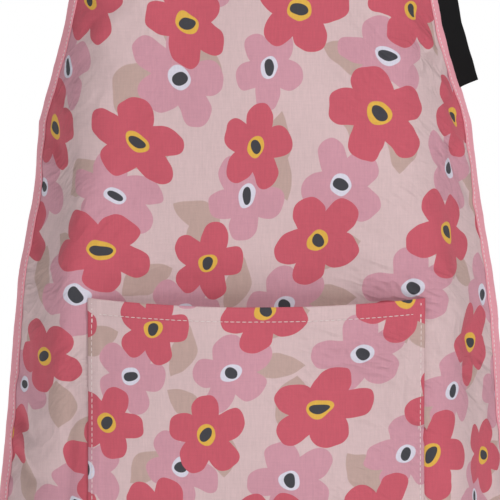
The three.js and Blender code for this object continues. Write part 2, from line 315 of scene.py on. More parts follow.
class Wire:
    # One output of a shader node. Arithmetic on wires adds Math nodes.
    def __init__(self, tree, socket=None):
        self.tree = tree
        self.socket = socket

    def node(self, kind, inputs, output=0, **settings):
        made = self.tree.nodes.new(kind)
        for name, value in settings.items():
            setattr(made, name, value)
        for key, value in inputs.items():
            if isinstance(value, Wire):
                self.tree.links.new(value.socket, made.inputs[key])
            else:
                made.inputs[key].default_value = value
        return Wire(self.tree, made.outputs[output])

    def maths(self, operation, *others, first=None, clamp=False):
        values = (self if first is None else first,) + others
        return self.node("ShaderNodeMath", dict(enumerate(values)), operation=operation, use_clamp=clamp)

    def __add__(self, other):
        return self.maths("ADD", other)

    __radd__ = __add__

    def __sub__(self, other):
        return self.maths("SUBTRACT", other)

    def __rsub__(self, other):
        return self.maths("SUBTRACT", self, first=other)

    def __mul__(self, other):
        return self.maths("MULTIPLY", other)

    __rmul__ = __mul__

    def __truediv__(self, other):
        return self.maths("DIVIDE", other)

    def __pow__(self, other):
        return self.maths("POWER", other)

    def __abs__(self):
        return self.maths("ABSOLUTE")

    def inside(self, softness):
        # 1 where the wire is above 0 and 0 where it is below, with a soft edge.
        return self.maths("MULTIPLY_ADD", 1 / softness, 0.5, clamp=True)

    def split(self):
        parts = self.node("ShaderNodeSeparateXYZ", {0: self}).socket.node
        return [Wire(self.tree, parts.outputs[k]) for k in range(3)]

    def joined(self, y, z=0.0):
        return self.node("ShaderNodeCombineXYZ", {0: self, 1: y, 2: z})

    def blended(self, a, b):
        # Colour a where the wire is 0 and b where it is 1.
        return self.node("ShaderNodeMix", {0: self, 6: a, 7: b}, output=2, data_type="RGBA")

    def tinted(self, other, factor=1.0, kind="MULTIPLY"):
        # This colour blended with another by a plain factor.
        return self.node(
            "ShaderNodeMix", {0: factor, 6: self, 7: other}, output=2, data_type="RGBA", blend_type=kind
        )

    def spread(self, scale, detail=2.0, rough=0.5, output=0):
        # Noise over a vector wire, with a scale for each axis.
        scaled = self.node("ShaderNodeVectorMath", {0: self, 1: scale}, operation="MULTIPLY")
        return self.node(
            "ShaderNodeTexNoise", {"Vector": scaled, "Scale": 1.0, "Detail": detail, "Roughness": rough},
            output=output,
        )


def srgb(red, green, blue):
    values = [c / 255 for c in (red, green, blue)]
    return tuple(c / 12.92 if c <= 0.04045 else ((c + 0.055) / 1.055) ** 2.4 for c in values) + (1.0,)


def startMaterial(name, roughness, sheen=0.0):
    material = bpy.data.materials.new(name)
    material.use_nodes = True
    tree = material.node_tree
    shader = tree.nodes["Principled BSDF"]
    shader.inputs["Roughness"].default_value = roughness
    shader.inputs["Specular IOR Level"].default_value = 0.3
    shader.inputs["Sheen Weight"].default_value = sheen
    shader.inputs["Sheen Roughness"].default_value = 0.5
    uv = Wire(tree).node("ShaderNodeUVMap", {}, uv_map="UVMap")
    return material, tree, shader, uv


def finishMaterial(tree, shader, color, height, depth):
    tree.links.new(color.socket, shader.inputs["Base Color"])
    bump = height.node("ShaderNodeBump", {"Strength": 1.0, "Distance": depth, "Height": height})
    tree.links.new(bump.socket, shader.inputs["Normal"])


def weave(uv, warpPitch, weftPitch):
    # Plain weave: the height of crossing threads, and a factor for thick and thin ones.
    x, y, _ = uv.split()
    warp = (x * (2 * math.pi / warpPitch)).maths("SINE")
    weft = (y * (2 * math.pi / weftPitch)).maths("SINE")
    over = warp * weft
    warpSlub = uv.spread((0.5 / warpPitch, 90, 1), detail=2, rough=0.7)
    weftSlub = uv.spread((75, 0.5 / weftPitch, 1), detail=2, rough=0.7)
    height = over * 0.5 + warp * 0.35 + warpSlub * 1.2 + weftSlub * 0.8
    return height, warpSlub, weftSlub


# The printed cloth: a generic scatter of five-petal blossoms and leaves on a pale ground.

printed = {
    "ground": srgb(228, 199, 200),
    "coral": srgb(213, 97, 113),
    "mauve": srgb(219, 160, 175),
    "leaf": srgb(204, 173, 165),
    "yellow": srgb(240, 190, 82),
    "white": srgb(232, 228, 242),
    "eye": srgb(70, 70, 76),
    "cell": (0.069, 0.067),
    "wobble": 0.0026,
    "drift": 0.028,
    "edge": 0.0004,
    "warp": 0.00052,
    "weft": 0.00046,
    "roughness": 0.8,
    "sheen": 0.04,
    "bump": 0.00006,
    "warpTint": 0.2,
    "weftTint": 0.13,
    "mottle": 0.13,
    "wrongSideFade": 0.62,
}

# The layers of the print from the bottom up: how each one's grid of cells is shifted, and its seed.
leafLayers = [{"shift": (0.75, 0.42), "seed": 21.0}, {"shift": (0.52, 0.96), "seed": 34.0}]
flowerLayers = [
    {"shift": (0.25, 0.5), "seed": 5.0, "radius": 0.0252, "petals": "mauve", "ring": "white"},
    {"shift": (0.0, 0.0), "seed": 13.0, "radius": 0.0258, "petals": "coral", "ring": "yellow"},
]

# A blossom as shares of its radius: where a petal's middle lies, its half length, half width and squareness,
# the round at its heart, the ring, and the half width and half height of its eye.
flower = {
    "jitter": 0.0065, "middle": 0.61, "long": 0.42, "wide": 0.37, "square": 2.4, "heart": 0.4, "ring": 0.25,
    "eye": (0.13, 0.19),
}
leafShape = {"jitter": 0.015, "size": 1.25, "wide": 0.0072, "bend": 9, "taper": 36}
wrinkle = {"high": 86, "across": 96, "along": 34, "bend": 0.034, "patches": 20, "from": 0.062, "soft": 0.06}


def scatter(x, y, shift, seed, cell, jitter):
    # The place of a point within its cell's own motif, turned at random, and the cell's random size.
    row = y / cell[1] + shift[1]
    level = row.maths("FLOOR")
    column = x / cell[0] + shift[0] + level * 0.5
    upright = column.maths("FLOOR")
    cellPlace = upright.joined(level, seed)
    chance = cellPlace.node("ShaderNodeTexWhiteNoise", {"Vector": cellPlace}, output=1, noise_dimensions="3D")
    a, b, c = chance.split()
    dx = (column - upright - 0.5) * cell[0] - (a - 0.5) * (2 * jitter)
    dy = (row - level - 0.5) * cell[1] - (b - 0.5) * (2 * jitter)
    turn = c * (2 * math.pi)
    cosine, sine = turn.maths("COSINE"), turn.maths("SINE")
    return dx * cosine + dy * sine, dy * cosine - dx * sine, a * 0.16 + 0.9


def blossom(x, y, shift, seed, radius):
    # Masks of the petals, of the ring round the eye and of the eye.
    px, py, size = scatter(x, y, shift, seed, printed["cell"], flower["jitter"])
    px, py = px / (size * radius), py / (size * radius)
    far = (px * px + py * py) ** 0.5
    angle = py.maths("ARCTAN2", px).maths("PINGPONG", math.pi / 5)
    along = abs(far * angle.maths("COSINE") - flower["middle"]) / flower["long"]
    beside = far * angle.maths("SINE") / flower["wide"]
    petal = 1 - (along ** flower["square"] + beside ** flower["square"])
    petals = petal.maths("MAXIMUM", flower["heart"] - far).inside(printed["edge"] / radius * 3)
    ring = (flower["ring"] - far).inside(printed["edge"] / radius)
    eye = (1 - ((px / flower["eye"][0]) ** 2 + (py / flower["eye"][1]) ** 2)).inside(0.08)
    return petals, ring, eye


def leaf(x, y, shift, seed):
    px, py, size = scatter(x, y, shift, seed, printed["cell"], leafShape["jitter"])
    px, py = px / (size * leafShape["size"]), py / (size * leafShape["size"])
    bent = abs(py - px * px * leafShape["bend"])
    return (leafShape["wide"] - bent - px * px * leafShape["taper"]).inside(printed["edge"])


def wrinkles(uv):
    # Wrinkles in loose patches that fall towards the sides, most above and on the right.
    x, y, _ = uv.split()
    side = abs(x)
    bend = uv.spread((17, 17, 1), detail=1) * wrinkle["bend"]
    across, along = side * 0.57 + y * 0.82 + bend, side * 0.82 - y * 0.57
    fine = across.joined(along).spread((wrinkle["across"], wrinkle["along"], 1), detail=2, rough=0.5)
    patches = uv.spread((wrinkle["patches"], wrinkle["patches"], 1), detail=1)
    patches = patches.maths("MULTIPLY_ADD", 3.0, -1.05, clamp=True)
    ridge = 1 - abs(fine * 2 - 1)
    upper = (y + 0.35).inside(0.12) * 0.55 + 0.45
    rightward = x.inside(0.1) * 0.45 + 0.6
    pulled = (side - wrinkle["from"]).inside(wrinkle["soft"]) * upper * rightward
    return ridge * patches * wrinkle["high"] * pulled + uv.spread((60, 40, 1), detail=3, rough=0.55) * 14


def shifted(place, uv, frequency, reach, detail):
    # The place moved by soft noise over the UV map, by up to reach each way.
    noisy = uv.spread((frequency, frequency, 1), detail=detail, output=1)
    centred = noisy.node("ShaderNodeVectorMath", {0: noisy, 1: (0.5, 0.5, 0.5)}, operation="SUBTRACT")
    return place.node(
        "ShaderNodeVectorMath", {0: centred, 1: (2 * reach,) * 3, 2: place}, operation="MULTIPLY_ADD"
    )


def printedCloth(name, fade):
    material, tree, shader, uv = startMaterial(name, printed["roughness"], printed["sheen"])
    place = shifted(uv, uv, 6.5, printed["drift"], 0)
    place = shifted(place, uv, 72, printed["wobble"], 0.6)
    x, y, _ = place.split()
    color = printed["ground"]
    for row in leafLayers:
        color = leaf(x, y, row["shift"], row["seed"]).blended(color, printed["leaf"])
    for row in flowerLayers:
        petals, ring, eye = blossom(x, y, row["shift"], row["seed"], row["radius"])
        color = petals.blended(color, printed[row["petals"]])
        color = ring.blended(color, printed[row["ring"]])
        color = eye.blended(color, printed["eye"])
    height, warpSlub, weftSlub = weave(uv, printed["warp"], printed["weft"])
    height = height + wrinkles(uv)
    shade = uv.spread((14, 14, 1), detail=2)
    value = (warpSlub - 0.5) * printed["warpTint"] + (weftSlub - 0.5) * printed["weftTint"]
    value = value + (shade - 0.5) * printed["mottle"] + 1
    color = color.tinted(value.joined(value, value))
    if fade:
        color = color.tinted(printed["ground"], fade, kind="MIX")
    finishMaterial(tree, shader, color, height, printed["bump"])
    return material


# Tapes and thread: slub is how much their colour varies from yarn to yarn

tapeFinishes = {
    "binding_cotton": {"color": (249, 168, 182), "pitch": 0.0005, "bump": 0.00005, "slub": 0.1, "sheen": 0.2},
    "strap_webbing": {"color": (222, 142, 158), "pitch": 0.0011, "bump": 0.00018, "slub": 0.2, "sheen": 0.2},
    "label_satin": {"color": (11, 10, 12), "pitch": 0.0004, "bump": 0.00005, "slub": 0.3, "sheen": 0.0},
}
threadFinish = {"color": (255, 240, 238), "twist": 0.0004, "bump": 0.00003}


def wovenTape(name):
    finish = tapeFinishes[name]
    material, tree, shader, uv = startMaterial(name, 0.82, finish["sheen"])
    height, warpSlub, weftSlub = weave(uv, finish["pitch"], finish["pitch"] * 1.2)
    shade = uv.spread((30, 30, 1), detail=3)
    value = (warpSlub - 0.5) * finish["slub"] + (weftSlub - 0.5) * finish["slub"] + (shade - 0.5) * 0.14 + 1
    color = value.joined(value, value).tinted(srgb(*finish["color"]))
    finishMaterial(tree, shader, color, height, finish["bump"])
    return material


def sewingThread(name):
    material, tree, shader, uv = startMaterial(name, 0.6, sheen=0.1)
    x, y, _ = uv.split()
    twist = ((x + y) * (2 * math.pi / threadFinish["twist"])).maths("SINE")
    # Painted shade: the thread's colour is about 10% darker in the grooves of its twist than on the ridges,
    # following the same sine as the bump.
    value = twist * 0.05 + 0.97
    color = value.joined(value, value).tinted(srgb(*threadFinish["color"]))
    finishMaterial(tree, shader, color, twist, threadFinish["bump"])
    return material


clothMaterial = printedCloth("printed_cotton", 0)
wrongSideMaterial = printedCloth("printed_cotton_wrong_side", printed["wrongSideFade"])
bindingMaterial = wovenTape("binding_cotton")
tapeMaterial = wovenTape("strap_webbing")
labelMaterial = wovenTape("label_satin")
threadMaterial = sewingThread("sewing_thread")
print("materials made")


# Body panel

panel = {"columns": 188, "rows": 226, "straightShare": 0.82, "wall": 0.0006}
pocket = {
    "width": 0.199,
    "height": 0.150,
    "down": 0.272,
    "gape": 0.015,
    "sag": 0.004,
    "wall": 0.0006,
    "hem": 0.0095,
    "allowance": 0.0075,
    "step": 0.00035,
    "clear": 0.0012,
    "printShift": (0.031, 0.036),
}


def edgeDown(t):
    # The level at a share of the way along the side edge, which ends in the rounded corner.
    straight = cut["length"] - cut["cornerRadius"]
    along = t * (straight + cut["cornerRadius"] * math.pi / 2)
    if along < straight:
        return along
    return straight + cut["cornerRadius"] * math.sin((along - straight) / cut["cornerRadius"])


def panelPlace(i, j):
    down = edgeDown(j / panel["rows"])
    part = 2 * i / panel["columns"] - 1
    held = min(abs(part), panel["straightShare"]) * cutHalf(down)
    rest = max(abs(part) - panel["straightShare"], 0) / (1 - panel["straightShare"])
    return Vector((math.copysign(mix(held, halfWidth(down), rest), part), -down, 0))


def makePanel():
    bm = gridOf(panel["columns"], panel["rows"], panelPlace)
    drape(bm, onCloth)
    sides = [clothMaterial, wrongSideMaterial]
    return addPiece("printed_panel", bm, sides, ["body_panel"], panel["wall"])


# Patch pocket

pocketWaves = {
    "broad": {"high": 0.0014, "across": 26, "down": 17, "seed": 31},
    "fine": {"high": 0.0005, "across": 60, "down": 46, "seed": 17},
    "hem": {"high": 0.0005, "across": 130, "down": 60, "seed": 19},
    "seam": {"high": 0.0006, "across": 70, "down": 110, "seed": 23},
}
seamReach = 0.006  # how far from a seam the pocket's cloth puckers


def pocketWave(kind, x, y):
    row = pocketWaves[kind]
    return row["high"] * noise.noise(Vector((x * row["across"], y * row["down"], row["seed"])))


def standOff(share, rise):
    return pocket["gape"] * (1 - min(abs(share), 1) ** 2.6) * math.sin(rise * math.pi / 2)


def onPocket(x, y, z):
    share = x / (pocket["width"] / 2)
    rise = 1 + (pocket["down"] + y) / pocket["height"]
    rise = min(max(rise, 0), 1)
    down = -y + pocket["sag"] * (1 - share * share) * rise
    loose = standOff(share, rise) / pocket["gape"]
    lift = pocketWave("broad", x, y) + pocketWave("fine", x, y)
    fromHem = abs(-y - pocket["down"] - pocket["hem"])
    lift += math.exp(-(fromHem / seamReach) ** 2) * pocketWave("hem", x, y)
    fromSeam = min(pocket["width"] / 2 - abs(x), pocket["height"] * rise)
    pulled = math.exp(-(fromSeam / seamReach - 1) ** 2) * abs(pocketWave("seam", x, y))
    out = pocket["clear"] + standOff(share, rise) + z + loose * lift + pulled
    return wornPoint(x, down, out, ruffled=1 - 0.8 * loose)


def doubled(distance, width):
    # The step where the turned allowance doubles the cloth: round at the fold, and fading past its raw edge.
    return pocket["step"] * smooth(distance, -0.0002, 0.0008) * (1 - smooth(distance, width, width + 0.001))


def pocketRows():
    # Down from the mouth and out of the face, from inside the hem, over its fold and down to the foot.
    radius = pocket["step"] * 1.4
    rows = [(pocket["hem"] * (1 - k / 4), -2 * radius) for k in range(4)]
    for k in range(7):
        angle = math.pi * k / 6
        rows.append((-radius * math.sin(angle), -radius - radius * math.cos(angle)))
    downs = [0.0015, 0.004, 0.0068, 0.0082, 0.0094, 0.0108]
    downs += [mix(0.0135, pocket["height"] - 0.0135, k / 44) for k in range(45)]
    nearFoot = (0.0108, 0.0090, 0.0075, 0.0060, 0.004, 0.0024, 0.0012, 0.0004, 0)
    downs += [pocket["height"] - d for d in nearFoot]
    rows += [(down, 0) for down in downs]
    return rows


def pocketColumns():
    fine = [0, 0.0004, 0.0012, 0.0024, 0.004, 0.006, 0.0075, 0.0085, 0.0105, 0.013]
    half = pocket["width"] / 2
    left = [-half + d for d in fine]
    middle = [mix(-half + 0.0155, half - 0.0155, k / 68) for k in range(69)]
    return left + middle + [-x for x in reversed(left)]


def makePocket():
    rows, columns = pocketRows(), pocketColumns()

    def place(i, j):
        x, (down, z) = columns[i], rows[j]
        fromSide = pocket["width"] / 2 - abs(x)
        fromFoot = pocket["height"] - down
        front = z > -pocket["step"]
        z *= mix(0.3, 1, smooth(fromSide, 0, 0.005))  # the turned hem is pressed flat at its ends
        z += front * max(doubled(fromSide, pocket["allowance"]), doubled(fromFoot, pocket["allowance"]))
        z += front * doubled(down + 0.001, pocket["hem"]) * 0.8
        tucked = 0.00025 * (1 - smooth(min(fromSide, fromFoot), -0.0001, 0.0007))
        return Vector((x, -pocket["down"] - down, z - tucked))

    bm = gridOf(len(columns) - 1, len(rows) - 1, place)
    drape(bm, onPocket, pocket["printShift"])
    sides = [clothMaterial, wrongSideMaterial]
    return addPiece("patch_pocket", bm, sides, ["pocket"], pocket["wall"])


# Edge binding: one folded tape, in a piece for each edge

binding = {"width": 0.009, "out": 0.0009, "nose": 0.0012, "wall": 0.0004, "seam": 0.0074, "step": 0.0024}


def bindingProfile():
    # Inward and outward places from the front's turned edge, round the nose, to the back's.
    width, out, nose = binding["width"], binding["out"], binding["nose"]
    front = [
        (width + 0.0001, out * 0.5), (width - 0.0002, out * 0.86), (binding["seam"] + 0.0003, out * 0.94),
        (binding["seam"], out * 0.78), (binding["seam"] - 0.0003, out * 0.94), (width * 0.6, out * 1.12),
        (width * 0.3, out * 1.14), (0.0006, out * 1.08),
    ]
    angles = [math.pi * k / 8 for k in range(1, 8)]
    turn = [(0.0006 - nose * math.sin(angle), out * 1.08 * math.cos(angle)) for angle in angles]
    return front + turn + [(inward, -height) for inward, height in reversed(front)]


def sideEdge(sign):
    # The flat edge from the bib top to the hem, with its inward way at each step.
    length = cut["length"] - cut["cornerRadius"] + cut["cornerRadius"] * math.pi / 2
    steps = round(length / binding["step"])
    edge = []
    for k in range(steps + 1):
        down = edgeDown(k / steps)
        above = max(cut["cornerRadius"] - (cut["length"] - down), 0) / cut["cornerRadius"]
        point = Vector((sign * halfWidth(down), -down, 0))
        edge.append((point, Vector((-sign * math.sqrt(max(1 - above * above, 0)), above, 0))))
    return edge


def levelEdge(reach, down, upward):
    steps = round(2 * reach / binding["step"])
    return [
        (Vector((mix(-reach, reach, k / steps), -down, 0)), Vector((0, upward, 0)))
        for k in range(steps + 1)
    ]


def makeBinding(name, node, edge, seed):
    profile = bindingProfile()

    def place(i, j):
        point, inward = edge[j]
        reach, out = profile[i]
        uneven = noise.noise(Vector((j * 0.21, seed, 0 if out > 0 else 5)))
        gathered = noise.noise(Vector((j * 0.62, seed + 3, reach * 160)))
        flat = point + inward * (reach * (1 + 0.03 * uneven))
        flat.z = out * (1 + 0.16 * gathered + 0.08 * uneven)
        return flat

    bm = gridOf(len(profile) - 1, len(edge) - 1, place)
    drape(bm, onCloth)
    return addPiece(name, bm, [bindingMaterial], [node], binding["wall"])


# Sewing: short stitches laid end to end on the flat cloth

edgeStitch = {"pitch": 0.0027, "long": 0.0021, "wide": 0.00078, "high": 0.0006}
pocketSeam = {
    "inset": 0.0024,
    "fromMouth": 0.0006,
    "aboveRawEdge": 0.0015,
    "backstitch": 0.014,
    "beside": 0.0004,
}
tapeSeam = {"inset": 0.003, "top": 0.0125, "foot": 0.0025, "tieHalf": 0.0058}
pocketStitch = {"pitch": 0.0034, "long": 0.0028, "wide": 0.0005, "high": 0.0004}


def sew(path, out, stitch, side=1):
    # Where each stitch goes along a flat path of (x, y) points. side is 1 on the face and -1 on the back.
    lengths = [0]
    for a, b in zip(path, path[1:]):
        lengths.append(lengths[-1] + math.dist(a, b))
    count = max(round(lengths[-1] / stitch["pitch"]), 1)
    shapes = []
    k = 0
    for n in range(count):
        at = (n + 0.5) * lengths[-1] / count
        while lengths[k + 1] < at:
            k += 1
        (ax, ay), (bx, by) = path[k], path[k + 1]
        t = (at - lengths[k]) / (lengths[k + 1] - lengths[k])
        turn = math.atan2(by - ay, bx - ax)
        shapes.append(
            Matrix.Translation((mix(ax, bx, t), mix(ay, by, t), side * out))
            @ Matrix.Rotation(turn, 4, "Z")
            @ Matrix.Diagonal((stitch["long"], stitch["wide"], stitch["high"], 1))
            @ Matrix.Rotation(math.pi / 2, 4, "Y")
        )
    return shapes


def insetPath(edge, inward):
    return [tuple((point + way * inward).xy) for point, way in edge]


def makeThread(name, paths, place, out, stitch, sides=(1,)):
    shapes = [shape for path in paths for side in sides for shape in sew(path, out, stitch, side)]
    bm = bmesh.new()
    number = bm.verts.layers.int.new("stitch")
    bmesh.ops.create_uvsphere(bm, u_segments=6, v_segments=4, radius=0.5)
    made = 1
    while made < len(shapes):
        copies = bmesh.ops.duplicate(bm, geom=bm.verts[:] + bm.edges[:] + bm.faces[:])["geom"]
        for vert in copies:
            if isinstance(vert, bmesh.types.BMVert):
                vert[number] += made
        made *= 2
    spare = [vert for vert in bm.verts if vert[number] >= len(shapes)]
    bmesh.ops.delete(bm, geom=spare, context="VERTS")
    for vert in bm.verts:
        vert.co = shapes[vert[number]] @ vert.co
    drape(bm, place)
    return addPiece(name, bm, [threadMaterial])


def inSteps(path):
    # The same path with a point at least every 4 mm, so that stitches follow the cloth.
    points = [path[0]]
    for a, b in zip(path, path[1:]):
        steps = max(round(math.dist(a, b) / 0.004), 1)
        points += [(mix(a[0], b[0], k / steps), mix(a[1], b[1], k / steps)) for k in range(1, steps + 1)]
    return points


def makePocketThread():
    half = pocket["width"] / 2 - pocketSeam["inset"]
    mouth, foot = -pocket["down"], -pocket["down"] - pocket["height"] + pocketSeam["inset"]
    top, hem = mouth - pocketSeam["fromMouth"], mouth - pocket["hem"] + pocketSeam["aboveRawEdge"]
    paths = [[(-half, top), (-half, foot), (half, foot), (half, top)]]
    paths += [[(mix(-half, half, k / 40), hem) for k in range(41)]]
    for side in (-1, 1):
        beside = side * (half - pocketSeam["beside"])
        paths += [[(beside, top), (beside, mouth - pocketSeam["backstitch"])]]
    out = pocket["step"] + pocket["wall"] / 2 + 0.00012
    paths = [inSteps(path) for path in paths]
    makeThread("thread_pocket", paths, onPocket, out, pocketStitch)


# Tapes: the neck strap, the waist ties and their tails

strap = {"width": 0.020, "wall": 0.0014, "inset": 0.022, "overlap": 0.024, "neck": 0.104}
# Half of the strap's loop, as shares of half of neck, of reach and of bibDrop, with its tilt in degrees.
strapRoute = [
    {"x": 1.5, "y": -0.64, "z": -0.66, "tilt": 12},
    {"x": 1.34, "y": -0.47, "z": -0.36, "tilt": 28},
    {"x": 1.14, "y": -0.3, "z": -0.16, "tilt": 48},
    {"x": 0.84, "y": -0.15, "z": -0.06, "tilt": 68},
    {"x": 0.44, "y": -0.035, "z": -0.02, "tilt": 82},
]
tie = {
    "width": 0.018,
    "wall": 0.0012,
    "overlap": 0.022,
    "loop": 0.252,
    "back": 0.034,
    "leaves": math.radians(6),  # how far round its loop the tie is clear of the cloth
    "tail": 0.165,
    "hidden": 0.0057,  # how much more of each tail the knot hides
    "spread": 0.022,
    "apart": 0.0004,  # from each tail to the middle between them
    "atKnot": (1, 0.55, 0.93, 1),
    "underKnot": (0.5, 1, 0, 0.3),
}
tapeForm = {"step": 0.0035, "crown": 0.0004, "uneven": 0.0004, "gather": 0.0025, "thicken": 0.8}
# The knot's size, and how far the ties and their tails reach into it.
knot = {
    "wide": 0.025,
    "tall": 0.020,
    "wall": 0.0022,
    "pinch": (0.8, 0.8, 0, 1),
    "inAside": 0.004,
    "inBelow": 0.005,
}
# Two turns of tape round the crossing, one a little aslant over the other.
knotTurns = [
    {"name": "knot_turn_under", "lean": 0.35, "deep": 0.0048, "tall": 0.0082, "wide": 0.014, "x": 0.004},
    {"name": "knot_turn_over", "lean": -0.5, "deep": 0.0058, "tall": 0.0092, "wide": 0.012, "x": -0.003},
]
strapBehind = 0.0023  # the panel's middle to the middle of the strap where it is sewn on behind
tieBehind = 0.0019  # the same for the ties


def curvePoint(points, t):
    # A smooth curve through the points, in even steps of t from one to the next.
    last = len(points) - 1
    i = min(int(t * last), last - 1)
    w = t * last - i
    b, c = points[i], points[i + 1]
    a = points[i - 1] if i else 2 * b - c
    d = points[i + 2] if i + 2 <= last else 2 * c - b
    s0, s1, s2 = [max((q - p).length ** 0.5, 1e-4) for p, q in ((a, b), (b, c), (c, d))]
    start = ((b - a) / s0 - (c - a) / (s0 + s1) + (c - b) / s1) * s1
    end = ((c - b) / s1 - (d - b) / (s1 + s2) + (d - c) / s2) * s1
    w2, w3 = w * w, w * w * w
    return b * (2 * w3 - 3 * w2 + 1) + start * (w3 - 2 * w2 + w) + c * (3 * w2 - 2 * w3) + end * (w3 - w2)


def tapePiece(name, node, points, ways, width, wall, pinch=(1, 1, 0, 1)):
    # A flat tape with rounded edges, swept along the points, with its width along the ways.
    # pinch holds its share of the width at both ends, and where between them it changes.
    around, samples = 20, 200
    path = [curvePoint(points, k / samples) for k in range(samples + 1)]
    lengths = [0]
    for a, b in zip(path, path[1:]):
        lengths.append(lengths[-1] + (b - a).length)
    total = lengths[-1]
    rows = round(total / tapeForm["step"])

    def flat(i, j):
        angle = 2 * math.pi * i / around
        c, s = math.cos(angle), math.sin(angle)
        x = math.copysign(abs(c) ** 0.4, c) * width / 2
        z = math.copysign(abs(s) ** 0.7, s) * wall / 2
        return Vector((x, -total * j / rows, z))

    def place(x, y, z):
        along = min(max(-y, 0), total)
        k = next((k for k in range(1, samples) if lengths[k] >= along), samples)
        t = (k - 1 + (along - lengths[k - 1]) / (lengths[k] - lengths[k - 1])) / samples
        tangent = (curvePoint(points, min(t + 0.001, 1)) - curvePoint(points, max(t - 0.001, 0))).normalized()
        way = curvePoint(ways, t)
        way = (way - tangent * way.dot(tangent)).normalized()
        normal = way.cross(tangent)
        narrow = mix(pinch[0], pinch[1], smooth(t, pinch[2], pinch[3]))
        crown = tapeForm["crown"] * (1 - (2 * x / width) ** 2)
        crown += tapeForm["uneven"] * noise.noise(Vector((x * 50, along * 30, 2)))
        gather = (1 - narrow) * tapeForm["gather"] * math.sin(x / width * 4 * math.pi)
        thick = z * (1 + tapeForm["thicken"] * (1 - narrow))
        return curvePoint(points, t) + way * (x * narrow) + normal * (thick + crown + gather)

    bm = gridOf(around, rows, flat)
    drape(bm, place)
    bmesh.ops.remove_doubles(bm, verts=bm.verts, dist=1e-6)
    bmesh.ops.holes_fill(bm, edges=[edge for edge in bm.edges if edge.is_boundary], sides=0)
    return addPiece(name, bm, [tapeMaterial], [node], closed=True)


def strapLine():
    sewnAt = cut["bibTop"] / 2 - strap["inset"]
    half = []
    for share in (1, 0.5, 0):
        down = strap["overlap"] * share
        way = wornPoint(sewnAt + 0.001, down, 0, 0) - wornPoint(sewnAt - 0.001, down, 0, 0)
        half.append((wornPoint(sewnAt, down, -behindStrap(), 0), way.normalized()))
    for row in strapRoute:
        tilt = math.radians(row["tilt"])
        point = Vector((row["x"] * strap["neck"] / 2, row["y"] * worn["reach"], row["z"] * worn["bibDrop"]))
        half.append((point, Vector((math.cos(tilt), 0, -math.sin(tilt)))))
    mirror = Matrix.Diagonal((-1, 1, 1))
    other = [(mirror @ point, mirror @ way) for point, way in reversed(half)]
    whole = half + [(Vector((0, strap["wall"] / 2, 0)), Vector((0, 0, -1)))] + other
    return [point for point, way in whole], [way for point, way in whole]


tieDown = cut["waistDrop"] + tie["width"] / 2
tieLevel = -worn["bibDrop"] - tieDown


def tieLine(sign):
    edge = halfWidth(tieDown)
    sewn = [sign * (edge - inside) for inside in (tie["overlap"], tie["overlap"] / 2, 0)]
    points = [wornPoint(across, tieDown, -tieBehind, 0) for across in sewn]
    half = tie["width"] / 2
    ways = [wornPoint(a, tieDown - half, 0, 0) - wornPoint(a, tieDown + half, 0, 0) for a in sewn]
    ways = [way.normalized() for way in ways]
    middle = points[-1].y + half
    radius = tie["loop"] / 2
    end = math.acos((knot["wide"] / 2 - knot["inAside"]) / radius)
    steps = 7
    for k in range(steps + 1):
        turned = mix(tie["leaves"], end, k / steps)
        y = mix(middle, tie["back"], math.sin(turned))
        points.append(Vector((sign * radius * math.cos(turned), y, tieLevel)))
        ways.append(Vector((0, 0, 1)))
    return points, [way * sign for way in ways]


def tailLine(sign):
    top = tieLevel - knot["tall"] / 2 + knot["inBelow"]
    long = tie["tail"] + tie["hidden"]
    y = tie["back"] + sign * (tie["wall"] / 2 + tie["apart"])
    points = []
    for share in (0, 0.1, 0.4, 0.7, 1):
        across = sign * (tie["width"] / 6 + tie["spread"] * share ** 1.7)
        points.append(Vector((across, y + sign * tie["wall"] * share, top - long * share)))
    return points, [Vector((1, 0, 0))] * len(points)


def makeNeckTape():
    return tapePiece("neck_tape", "neck_strap", *strapLine(), strap["width"], strap["wall"])


def makeTies():
    for side, sign in (("left", -1), ("right", 1)):
        size = tie["width"], tie["wall"]
        names = f"waist_tape_{side}", f"waist_tie_{side}"
        tapePiece(*names, *tieLine(sign), *size, tie["atKnot"])
        names = f"tail_tape_{side}", f"tie_tail_{side}"
        tapePiece(*names, *tailLine(sign), *size, tie["underKnot"])


def makeKnot():
    centre = Vector((0, tie["back"], tieLevel))
    steps = 12
    for row in knotTurns:
        points, ways = [], []
        for k in range(steps + 1):
            angle = 2 * math.pi * k / steps
            z = row["tall"] * math.cos(angle)
            points.append(centre + Vector((row["x"] + z * row["lean"], row["deep"] * math.sin(angle), z)))
            ways.append(Vector((1, 0, -row["lean"])).normalized())
        size = row["wide"], knot["wall"]
        tapePiece(row["name"], "tie_knot", points, ways, *size, knot["pinch"])


def boxPaths(middle, half, top, foot):
    # A box of stitches with a cross through it, on both sides of the cloth's middle.
    paths = []
    for side in (-1, 1):
        left, right = side * middle - half, side * middle + half
        box = [(left, top), (right, top), (right, foot), (left, foot), (left, top)]
        paths += [inSteps(path) for path in (box, [(left, top), (right, foot)], [(right, top), (left, foot)])]
    return paths


def behindStrap():
    # The panel's middle to the strap's where it is sewn on, flat behind the curved cloth.
    return strapBehind + strap["width"] ** 2 / (8 * levels[0]["left"] * worn["turn"])


